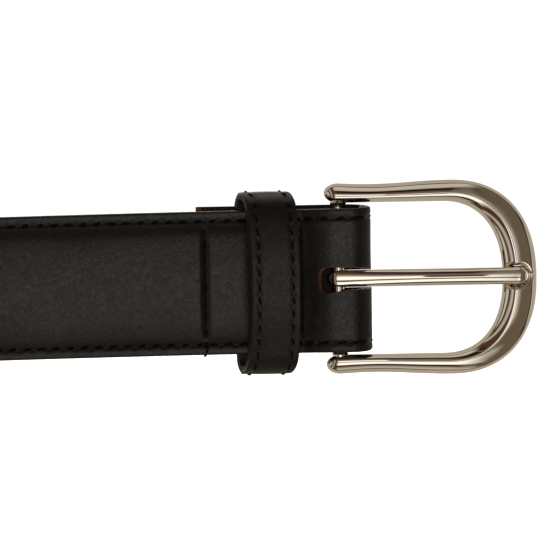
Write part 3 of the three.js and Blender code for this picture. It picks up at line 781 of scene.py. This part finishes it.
def build_keeper_line():
    """The keeper's outside from the middle of its underside, once round: (y, z), with outward normals."""
    y = KEEPER_WIDTH / 2 - KEEPER_CORNER
    low, high = KEEPER_BOTTOM_Z + KEEPER_CORNER, KEEPER_TOP_Z - KEEPER_CORNER
    turn = np.linspace(0, math.pi / 2, 24)
    points, normals = [], []

    def straight(start, stop, normal, count):
        for t in np.linspace(0, 1, count)[1:-1]:
            points.append(np.array(start) * (1 - t) + np.array(stop) * t)
            normals.append(normal)

    def corner(centre, first):
        for angle in first + turn:
            normal = np.array([math.cos(angle), math.sin(angle)])
            points.append(np.array(centre) + KEEPER_CORNER * normal)
            normals.append(normal)

    points.append(np.array([0, KEEPER_BOTTOM_Z]))
    normals.append(np.array([0, -1]))
    straight((0, KEEPER_BOTTOM_Z), (y, KEEPER_BOTTOM_Z), (0, -1), 30)
    corner((y, low), -math.pi / 2)
    straight((y + KEEPER_CORNER, low), (y + KEEPER_CORNER, high), (1, 0), 6)
    corner((y, high), 0)
    straight((y, KEEPER_TOP_Z), (-y, KEEPER_TOP_Z), (0, 1), 60)
    corner((-y, high), math.pi / 2)
    straight((-y - KEEPER_CORNER, high), (-y - KEEPER_CORNER, low), (-1, 0), 6)
    corner((-y, low), math.pi)
    straight((-y, KEEPER_BOTTOM_Z), (0, KEEPER_BOTTOM_Z), (0, -1), 30)
    points.append(np.array([0, KEEPER_BOTTOM_Z]))
    normals.append(np.array([0, -1]))
    points, normals = np.array(points), np.array(normals, float)
    length = np.concatenate([[0], np.cumsum(np.hypot(*np.diff(points, axis=0).T))])
    return points, normals, length


KEEPER_LINE, KEEPER_NORMAL, KEEPER_ROUND = build_keeper_line()
KEEPER_TOTAL = KEEPER_ROUND[-1]


def on_keeper(s, x, out):
    """Points at distances s round the keeper, x along the belt, and out from its outside face."""
    y, z = (np.interp(s, KEEPER_ROUND, KEEPER_LINE[:, i]) for i in (0, 1))
    ny, nz = (np.interp(s, KEEPER_ROUND, KEEPER_NORMAL[:, i]) for i in (0, 1))
    size = np.hypot(ny, nz)
    y, z = y + ny / size * out, z + nz / size * out
    front = smooth((z - KEEPER_BOTTOM_Z - 2) / 5)
    z = z - KEEPER_ARCH * front * np.abs(y / (KEEPER_WIDTH / 2)) ** 2.6
    x = KEEPER_BASE_X + x + KEEPER_LEAN * (z - KEEPER_BOTTOM_Z)
    return np.stack([x, y - KEEPER_DROP, z], axis=-1)


def keeper_strip(out_top, out_bottom, edge, stitched):
    """A strip of the keeper with rounded long edges, drawn once round to the gap. A stitched one has
    two channels with the needle's holes."""
    turn = np.linspace(0, math.pi / 2, 6)
    top_x = np.concatenate([
        edge * (1 - np.cos(turn)),
        np.linspace(edge + 0.3, KEEPER_LENGTH - edge - 0.3, 25),
        KEEPER_LENGTH - edge * (1 - np.cos(turn[::-1])),
    ])
    top = out_top - edge * (1 - np.sin(np.concatenate([turn, np.full(25, math.pi / 2), turn[::-1]])))
    middle = KEEPER_LENGTH / 2
    top += KEEPER_CROWN * (1 - ((top_x - middle) / middle) ** 2)
    s = np.arange(KEEPER_GAP / 2, KEEPER_TOTAL - KEEPER_GAP / 2, 0.45)
    x = np.concatenate([top_x, [KEEPER_LENGTH - 0.1, 0.1]])
    ss = s[:, None]
    surface = np.repeat(top[None, :], len(s), axis=0)
    for row in (KEEPER_ROW_INSET, KEEPER_LENGTH - KEEPER_ROW_INSET) if stitched else ():
        surface = surface - KEEPER_SEAM_DEPTH * np.exp(-(((top_x[None, :] - row) / 0.4) ** 2))
        surface = surface - KEEPER_HOLE_DEPTH * hole_dents(ss, top_x[None, :], row, KEEPER_PITCH)
    out = np.concatenate([surface, np.full((len(s), 2), out_bottom)], axis=1)
    shape = out.shape
    return loft(on_keeper(np.broadcast_to(ss, shape), np.broadcast_to(x, shape), out)), len(top_x), len(x)


def keeper_row(inset):
    """A row of stitches once round the keeper, sunk into the strip under the strap."""
    def points(centre, run, across, up):
        underneath = min(centre, KEEPER_TOTAL - centre) < KEEPER_WIDTH / 2 - KEEPER_CORNER
        sunk = KEEPER_STITCH_SUNK if underneath else 0
        return on_keeper(centre + run * 0.95, inset + across, up - sunk)
    centres = np.arange(KEEPER_PITCH, KEEPER_TOTAL - KEEPER_PITCH / 2, KEEPER_PITCH)
    return stitches(points, centres, KEEPER_STITCH_RADIUS, STITCH_RISE)


def keeper_staple():
    """A flat wire across the joint: its crown outside, legs through the strip, ends turned in."""
    outer, inner = 0.1, -KEEPER_THICKNESS - 0.1
    half, turn = 3.5, 1.9
    path = [(-half + turn, inner), (-half, inner), (-half, outer),
            (half, outer), (half, inner), (half - turn, inner)]
    fine = []
    for (y0, z0), (y1, z1) in zip(path, path[1:]):
        for t in np.linspace(0, 1, 9)[:-1]:
            fine.append((y0 + (y1 - y0) * t, z0 + (z1 - z0) * t))
    fine = np.array([*fine, path[-1]])
    for _ in range(3):
        fine[1:-1] = (fine[:-2] + 2 * fine[1:-1] + fine[2:]) / 4
    tangent = np.gradient(fine, axis=0)
    tangent /= np.hypot(*tangent.T)[:, None]
    around = np.linspace(0, 2 * math.pi, 13)[:-1]
    across = 0.55 * np.sign(np.cos(around)) * np.abs(np.cos(around)) ** 0.6
    thick = 0.2 * np.sign(np.sin(around)) * np.abs(np.sin(around)) ** 0.8
    y = fine[:, None, 0] - tangent[:, None, 1] * thick[None, :]
    out = fine[:, None, 1] + tangent[:, None, 0] * thick[None, :]
    z = KEEPER_BOTTOM_Z - out
    x = KEEPER_BASE_X + KEEPER_LENGTH / 2 + across[None, :] + KEEPER_LEAN * (z - KEEPER_BOTTOM_Z)
    return loft(np.stack([x, y - KEEPER_DROP, z], axis=-1))


# ---------------------------------------------------------------- buckle

def bezier(points, t):
    """Points of a cubic curve with four handles."""
    p0, p1, p2, p3 = (np.array(p, float) for p in points)
    t = np.asarray(t)[:, None]
    return (1 - t) ** 3 * p0 + 3 * (1 - t) ** 2 * t * p1 + 3 * (1 - t) * t ** 2 * p2 + t ** 3 * p3


def half_oval(centre_x, length, half_width, angle):
    """Points of a squarish half oval that bulges towards +x."""
    across = np.sign(np.sin(angle)) * np.abs(np.sin(angle)) ** (2 / FRAME_SQUARENESS)
    along = np.maximum(np.cos(angle), 0) ** (2 / FRAME_SQUARENESS)
    return np.stack([centre_x + length * along, half_width * across], 1)


def frame_edges():
    """The frame's inner and outer edges in plan, matched, from one foot round the bow to the other."""
    t = np.linspace(0, 1, 60)[:-1]
    waist = FRAME_WAIST * np.cos(math.pi * (t - 0.3) / 1.4) ** 2
    inner_arm = np.stack([INNER_CENTRE_X * t, np.full(len(t), INNER_HALF_WIDTH)], 1)
    outer_arm = np.stack([OUTER_CENTRE_X * t, OUTER_HALF_WIDTH - waist], 1)
    even = np.linspace(-1, 1, 221)
    angle = math.pi / 2 * np.sign(-even) * np.abs(even) ** 1.25
    inner_bow = half_oval(INNER_CENTRE_X, INNER_LENGTH, INNER_HALF_WIDTH, angle)
    outer_bow = half_oval(OUTER_CENTRE_X, OUTER_LENGTH, OUTER_HALF_WIDTH, angle)
    mirror = np.array([1, -1])
    inner = np.concatenate([inner_arm, inner_bow, inner_arm[::-1] * mirror])
    outer = np.concatenate([outer_arm, outer_bow, outer_arm[::-1] * mirror])
    return inner, outer


def frame_heights(x):
    """The frame's lowest and highest z at a place x: level at the feet, lower and thicker at the bow."""
    low = np.interp(x, [-4, 0, 12, 24, 36, 49], [2.3, 2.3, 2.2, 1.5, 0.4, 0.2])
    high = np.interp(x, [-4, 0, 12, 24, 36, 49], [6.9, 6.9, 7.1, 6.8, 6.2, 5.9])
    return low, high


def buckle_frame():
    """The casting: a leaning round section at the arms and a two-sloped one at the bow, rounded feet,
    and a cradle for the prong's tip."""
    inner, outer = frame_edges()
    smoothing = np.ones(9) / 9
    middle = (inner + outer) / 2
    reach = (outer - inner) / 2
    low, high = frame_heights(middle[:, 0])
    low, high = (np.convolve(np.pad(v, 4, mode="edge"), smoothing, mode="valid") for v in (low, high))
    bow = smooth((middle[:, 0] - 24) / 16)
    around = np.linspace(0, 2 * math.pi, 121)[:-1]
    cos, sin = np.cos(around), np.sin(around)
    across = np.sign(cos) * np.abs(cos) ** 0.86
    upper = sin > 0
    leaning = across + ARM_LEAN * (1 - across ** 2)
    rounded = np.clip(1 - np.abs(leaning) ** 2.3, 0, 1) ** 0.5
    outside = np.clip((across - CREST_ACROSS) / (1 - CREST_ACROSS), 0, 1)
    inside = np.clip((CREST_ACROSS - across) / (1 + CREST_ACROSS), 0, 1)
    slopes = 1 - 0.30 * outside ** 1.3 - 0.40 * inside ** 1.2
    slopes *= (1 - outside ** 8) ** 0.5 * (1 - inside ** 6) ** 0.5
    rings = []
    for i in range(len(middle)):
        waist_z = low[i] + 0.42 * (high[i] - low[i])
        facet = ARM_FACET + (1 - ARM_FACET) * bow[i]
        rise = np.where(upper, rounded * (1 - facet) + slopes * facet, -np.abs(sin) ** 0.7)
        z = waist_z + np.where(upper, (high[i] - waist_z) * rise, (waist_z - low[i]) * rise)
        rings.append(np.column_stack([middle[i][None, :] + reach[i][None, :] * across[:, None], z]))
    rings = np.array(rings)
    feet = []
    for ring in (rings[0], rings[-1]):
        centre = ring.mean(axis=0)
        cap = []
        for t in np.linspace(0, 1, 13)[1:]:
            size = max(math.cos(t * math.pi / 2), 0.02)
            shrunk = centre + (ring - centre) * [1, size, size]
            shrunk[:, 0] = ring[:, 0] - FOOT_LENGTH * math.sin(t * math.pi / 2)
            cap.append(shrunk)
        feet.append(np.array(cap))
    rings = np.concatenate([feet[0][::-1], rings, feet[1]])
    verts, faces = loft(rings)
    x, y, z = verts.T
    past = np.clip(x, CRADLE_START_X, CRADLE_END_X)
    away = np.hypot(x - past, y)
    carve = smooth((CRADLE_HALF_WIDTH + 0.9 - away) / 1.5)
    verts[:, 2] = np.where(z > CRADLE_FLOOR_Z, z + (CRADLE_FLOOR_Z - z) * carve, z)
    return verts, faces


def buckle_bar():
    """The bar, with bevelled ends and a small collar at each foot."""
    bevel = 0.2
    straight = np.linspace(-BAR_HALF_LENGTH + bevel, BAR_HALF_LENGTH - bevel, 90)
    y = np.concatenate([[-BAR_HALF_LENGTH], straight, [BAR_HALF_LENGTH]])
    around = np.linspace(0, 2 * math.pi, 41)[:-1]
    side = np.abs(y)
    radius = np.where(side > BAR_HALF_LENGTH - bevel / 2, BAR_RADIUS - bevel, BAR_RADIUS)
    collar = smooth((side - INNER_HALF_WIDTH + 0.9) / 0.9) * (side < INNER_HALF_WIDTH + 0.3)
    radius = radius + 0.25 * collar
    x = radius[:, None] * np.cos(around)[None, :]
    z = BAR_Z + radius[:, None] * np.sin(around)[None, :]
    return loft(np.stack([x, np.broadcast_to(y[:, None], x.shape), z], axis=-1))


def prong():
    """A bar from its tip to the buckle's bar, then thinned and rolled round it."""
    nose_start = PRONG_TIP_X - PRONG_NOSE
    along = np.linspace(0, 1, 120)
    top_line = bezier([(nose_start, 7.2), (30, 8.9), (16, 8.8), (2.0, 7.7)], along)
    low_line = bezier([(nose_start, 4.95), (30, 5.6), (16, 6.0), (2.0, 6.3)], along)
    tip = np.linspace(0, 1, 22)[:-1]
    nose_x = PRONG_TIP_X - PRONG_NOSE * (1 - np.cos(tip * math.pi / 2))
    nose_size = np.sqrt(np.clip(1 - ((nose_x - nose_start) / PRONG_NOSE) ** 2, 0.0012, 1))
    body = (top_line + low_line) / 2
    thick = (top_line[:, 1] - low_line[:, 1]) / 2
    nose = np.column_stack([nose_x, np.full(len(nose_x), body[0, 1] - 0.1) + 0.1 * nose_size])
    turn = np.linspace(math.pi / 2 + 0.15, math.pi * 2 - 0.35, 70)
    roll = np.column_stack([EYE_RADIUS * np.cos(turn), BAR_Z + EYE_RADIUS * np.sin(turn)])
    line = np.concatenate([nose, body, roll])
    half_thick = np.concatenate([thick[0] * nose_size, thick, np.full(len(roll), EYE_HALF_THICKNESS)])
    blend = np.ones(11) / 11
    join = len(nose) + len(body)
    eased = np.convolve(np.pad(half_thick, 5, mode="edge"), blend, mode="valid")
    half_thick[join - 12:join + 12] = eased[join - 12:join + 12]
    for _ in range(6):
        before, here, after = (line[join - 8 + i:join + 8 + i] for i in (-1, 0, 1))
        line[join - 8:join + 8] = (before + 2 * here + after) / 4
    eye_width = PRONG_HALF_WIDTH * (1 - 0.5 * smooth((0.1 - roll[:, 0]) / 2.6) ** 1.4)
    body_width = np.full(len(body), PRONG_HALF_WIDTH)
    half_width = np.concatenate([PRONG_HALF_WIDTH * nose_size, body_width, eye_width])
    tangent = np.gradient(line, axis=0)
    tangent /= np.hypot(*tangent.T)[:, None]
    tangent[:len(nose)] = [-1, 0]
    around = np.linspace(0, 2 * math.pi, 49)[:-1]
    cos, sin = np.cos(around), np.sin(around)
    across = np.sign(cos) * np.abs(cos) ** 0.9
    rise = np.where(sin > 0, np.abs(sin) ** 1.05, -np.abs(sin) ** 0.7)
    x = line[:, None, 0] + tangent[:, None, 1] * half_thick[:, None] * rise[None, :]
    z = line[:, None, 1] - tangent[:, None, 0] * half_thick[:, None] * rise[None, :]
    y = half_width[:, None] * across[None, :]
    return loft(np.stack([x, y, z], axis=-1))


# ---------------------------------------------------------------- the pieces

def strap_pieces():
    """The strap's leathers, its core and its threads."""
    shape, top_count, count, rows = strap_leather()

    def outer_faces(faces):
        index = np.zeros(len(faces), int)
        for i in range(rows - 1):
            index[i * count + top_count - 1:i * count + count] = 1
            index[i * count + top_count - 7:i * count + top_count] = 1
            index[i * count:i * count + 6] = 1
        index[-2:] = 2
        return index

    outer = piece("strap_grain_leather", shape, [GRAIN, EDGE, RAW], "strap",
                  "strap_outer_leather", outer_faces, 55)
    shape, count_lining, rows_lining = strap_lining()

    def lining_faces(faces):
        index = np.zeros(len(faces), int)
        raw_from = int(np.searchsorted(stations(), END - 1.4))
        index[raw_from * count_lining:] = 1
        return index

    lining = piece("strap_lining_leather", shape, [LINING, RAW], "strap", "strap_lining",
                   lining_faces, 55)
    core = piece("strap_padding", strap_core(), [BOARD], "strap", "strap_padding_core")
    # The front slot's walls take the darker raw edge: painted shade inside the slot.
    cut([outer, lining], front_slot(), SHADED_SLOT_WALL, 55)
    # The turned-back layer's slot walls take the black edge paint, darker than the front slot's raw
    # walls: painted shade deep in the slot.
    cut([outer, lining], back_slot(), EDGE, 55)
    cut([outer, lining, core], holes(), RAW, 55)

    face = merge([stitches(face_edge, edge_centres(END), STITCH_RADIUS, STITCH_RISE),
                  stitches(face_tip, tip_centres(), STITCH_RADIUS, STITCH_RISE)])
    back = merge([stitches(back_edge, edge_centres(END), STITCH_RADIUS, BACK_STITCH_RISE),
                  stitches(back_tip, tip_centres(), STITCH_RADIUS, BACK_STITCH_RISE)])
    rear = merge([*cross_row(REAR_ROW, REAR_ROW_BACK), loose_end()])
    front = merge(cross_row(FRONT_ROW, FRONT_ROW_BACK))
    piece("edge_stitches_face", face, [THREAD], "strap", "edge_stitching_face_thread")
    piece("edge_stitches_back", back, [THREAD], "strap", "edge_stitching_back_thread")
    piece("rear_cross_stitches", rear, [THREAD], "strap", "rear_cross_stitching")
    piece("front_cross_stitches", front, [THREAD], "strap", "front_cross_stitching")


def keeper_pieces():
    """The keeper's two layers, its stitches and the staple that joins it."""
    shape, top_count, count = keeper_strip(0.0, -KEEPER_OUTER, 0.4, True)

    def faces_of(faces):
        index = np.zeros(len(faces), int)
        for j in (top_count - 1, top_count, top_count + 1):
            index[j:-2:count] = 1
        return index

    piece("keeper_leather", shape, [KEEPER_GRAIN, EDGE], "keeper", "keeper_outer_leather",
          faces_of, 50)
    shape, _, _ = keeper_strip(-KEEPER_OUTER - GLUE, -KEEPER_THICKNESS, 0.1, False)
    piece("keeper_inner_leather", shape, [LINING], "keeper", "keeper_lining", None, 50)
    for side, inset in (("left", KEEPER_ROW_INSET), ("right", KEEPER_LENGTH - KEEPER_ROW_INSET)):
        piece(f"keeper_stitches_{side}", keeper_row(inset), [THREAD], "keeper",
              f"keeper_stitching_{side}")
    piece("keeper_wire", keeper_staple(), [STEEL], "keeper", "keeper_staple")


def buckle_pieces():
    piece("d_frame", buckle_frame(), [NICKEL], "buckle", "buckle_frame", None, 80)
    piece("hinge_bar", buckle_bar(), [NICKEL], "buckle", "buckle_bar", None, 40)
    piece("rolled_prong", prong(), [NICKEL], "prong", "prong", None, 60)


strap_pieces()
keeper_pieces()
buckle_pieces()

# ---------------------------------------------------------------- studio

VIEW_WIDTH = 133.8
VIEW_CENTRE_X = -15.6
VIEW_CENTRE_Y = 1.15
VIEW_DISTANCE = 900
VIEW_ROLL = 1.0
SENSOR = 36
FRONT_PLANE_Z = 7.0

WHITE = (1.0, 0.98, 0.95)
LIGHT = (0.44, 0.41, 0.365)
PAPER = (0.34, 0.305, 0.255)
TAN = (0.105, 0.082, 0.056)
BROWN = (0.06, 0.032, 0.02)
DARK = (0.005, 0.004, 0.003)

# The panels that the metal reflects, from one end of a direction, 0, to the other, 1.
UPRIGHT_PANELS = (
    (0.0, LIGHT), (0.06, TAN), (0.09, DARK), (0.13, DARK), (0.16, WHITE), (0.33, WHITE),
    (0.37, TAN), (0.43, TAN), (0.455, WHITE), (0.54, WHITE), (0.57, LIGHT), (0.66, TAN),
    (0.78, BROWN), (0.81, DARK), (0.875, DARK), (0.90, TAN), (0.94, LIGHT), (1.0, LIGHT),
)
SIDEWAYS_PANELS = (
    (0.0, LIGHT), (0.08, LIGHT), (0.11, DARK), (0.15, TAN), (0.20, LIGHT), (0.235, BROWN),
    (0.34, BROWN), (0.38, DARK), (0.42, WHITE), (0.56, WHITE), (0.60, LIGHT), (0.66, TAN),
    (0.90, TAN), (0.93, DARK), (0.95, DARK), (0.97, LIGHT), (1.0, LIGHT),
)
SHEET_BEHIND = ((0.0, PAPER), (0.49, DARK), (0.515, DARK), (0.54, PAPER), (1.0, PAPER))


def floor():
    """A plain white floor, which the metal doesn't reflect."""
    mesh = bpy.data.meshes.new("floor")
    size = 4.0
    corners = [(-size, -size, 0), (size, -size, 0), (size, size, 0), (-size, size, 0)]
    mesh.from_pydata(corners, [], [(0, 1, 2, 3)])
    made = bpy.data.materials.new("floor_white")
    made.use_nodes = True
    shader = made.node_tree.nodes["Principled BSDF"]
    shader.inputs["Base Color"].default_value = (0.9, 0.9, 0.9, 1)
    shader.inputs["Roughness"].default_value = 0.9
    shader.inputs["Emission Color"].default_value = (1, 1, 1, 1)
    shader.inputs["Emission Strength"].default_value = 0.84
    mesh.materials.append(made)
    obj = bpy.data.objects.new("floor", mesh)
    obj.location.z = CAD_BOX[0].z - 0.0002
    obj.visible_glossy = False
    bpy.context.scene.collection.objects.link(obj)


def share(tree, socket):
    """A direction's component, which runs from -1 to 1, as a share from 0 to 1."""
    node = tree.nodes.new("ShaderNodeMapRange")
    node.inputs["From Min"].default_value = -1
    node.inputs["From Max"].default_value = 1
    tree.links.new(socket, node.inputs["Value"])
    return node.outputs["Result"]


def background(tree, strength):
    """A background of a world at a strength."""
    node = tree.nodes.new("ShaderNodeBackground")
    node.inputs["Strength"].default_value = strength
    return node


def studio_world():
    """White where the camera looks. The metal reflects panels on the camera's side, with a brown one
    beside the camera, and behind the belt a paper sheet with a dark rim."""
    world = bpy.data.worlds.new("studio")
    bpy.context.scene.world = world
    world.use_nodes = True
    tree = world.node_tree
    tree.nodes.clear()
    nodes, links = tree.nodes, tree.links
    direction = nodes.new("ShaderNodeTexCoord")
    split = nodes.new("ShaderNodeSeparateXYZ")
    links.new(direction.outputs["Generated"], split.inputs["Vector"])
    x, y, z = (share(tree, split.outputs[axis]) for axis in "XYZ")

    off_side = ramp(tree, x, (0.30, 1.0), (0.42, 0.0), (0.58, 0.0), (0.70, 1.0))
    front = mixed(tree, off_side, ramp(tree, z, *UPRIGHT_PANELS), ramp(tree, x, *SIDEWAYS_PANELS))
    patch = multiply(tree, ramp(tree, x, (0.512, 0.0), (0.52, 1.0), (0.60, 1.0), (0.61, 0.0)),
                     ramp(tree, z, (0.485, 0.0), (0.50, 1.0), (0.60, 1.0), (0.62, 0.0)))
    front = mixed(tree, patch, front, BROWN)
    behind = ramp(tree, y, (0.46, 0.0), (0.50, 1.0))
    glow = background(tree, 1.35)
    links.new(mixed(tree, behind, front, ramp(tree, y, *SHEET_BEHIND)), glow.inputs["Color"])
    plain = background(tree, 1.1)
    plain.inputs["Color"].default_value = (1, 1, 1, 1)

    path = nodes.new("ShaderNodeLightPath")
    mix = nodes.new("ShaderNodeMixShader")
    out = nodes.new("ShaderNodeOutputWorld")
    links.new(path.outputs["Is Camera Ray"], mix.inputs["Fac"])
    links.new(glow.outputs["Background"], mix.inputs[1])
    links.new(plain.outputs["Background"], mix.inputs[2])
    links.new(mix.outputs["Shader"], out.inputs["Surface"])


def at(x, y, z):
    """One place of the belt's own frame in the row frame."""
    return Vector(place(np.array([[x, y, z]], float))[0])


def soft_light(name, position, size, watts, colour):
    """A round lamp that points at the middle of the buckle's bar."""
    light = bpy.data.lights.new(name, "AREA")
    light.shape = "DISK"
    light.size = size
    light.energy = watts
    light.color = colour
    obj = bpy.data.objects.new(name, light)
    obj.location = at(*position)
    obj.rotation_euler = (at(0, 0, 0) - at(*position)).to_track_quat("-Z", "Y").to_euler()
    bpy.context.scene.collection.objects.link(obj)
    return obj


def camera():
    """A camera that looks straight at the grain side."""
    data = bpy.data.cameras.new("camera")
    data.sensor_width = SENSOR
    data.lens = SENSOR * VIEW_DISTANCE / VIEW_WIDTH
    data.clip_start, data.clip_end = 0.01, 20
    obj = bpy.data.objects.new("camera", data)
    obj.location = at(VIEW_CENTRE_X, VIEW_CENTRE_Y, FRONT_PLANE_Z + VIEW_DISTANCE)
    obj.rotation_euler = (math.pi / 2, math.radians(VIEW_ROLL), 0)
    bpy.context.scene.collection.objects.link(obj)
    bpy.context.scene.camera = obj


def lamps_for_matt_pieces():
    """Three soft lamps for everything but the metal, which only reflects its surroundings."""
    lamps = [soft_light("key", (-40, -30, 900), 0.34, 1.45, (1.0, 0.95, 0.88)),
             soft_light("overhead", (-60, 880, -260), 0.6, 1.8, (1.0, 0.90, 0.78)),
             soft_light("rear", (-350, 350, -900), 0.7, 6.0, (1.0, 0.97, 0.93))]
    matt = bpy.data.collections.new("matt_pieces")
    for obj in bpy.data.objects:
        if obj.type == "MESH" and not any(s.material in (NICKEL, STEEL) for s in obj.material_slots):
            matt.objects.link(obj)
    for lamp in lamps:
        lamp.light_linking.receiver_collection = matt


floor()
studio_world()
lamps_for_matt_pieces()
camera()
bpy.context.scene.view_settings.view_transform = "Standard"
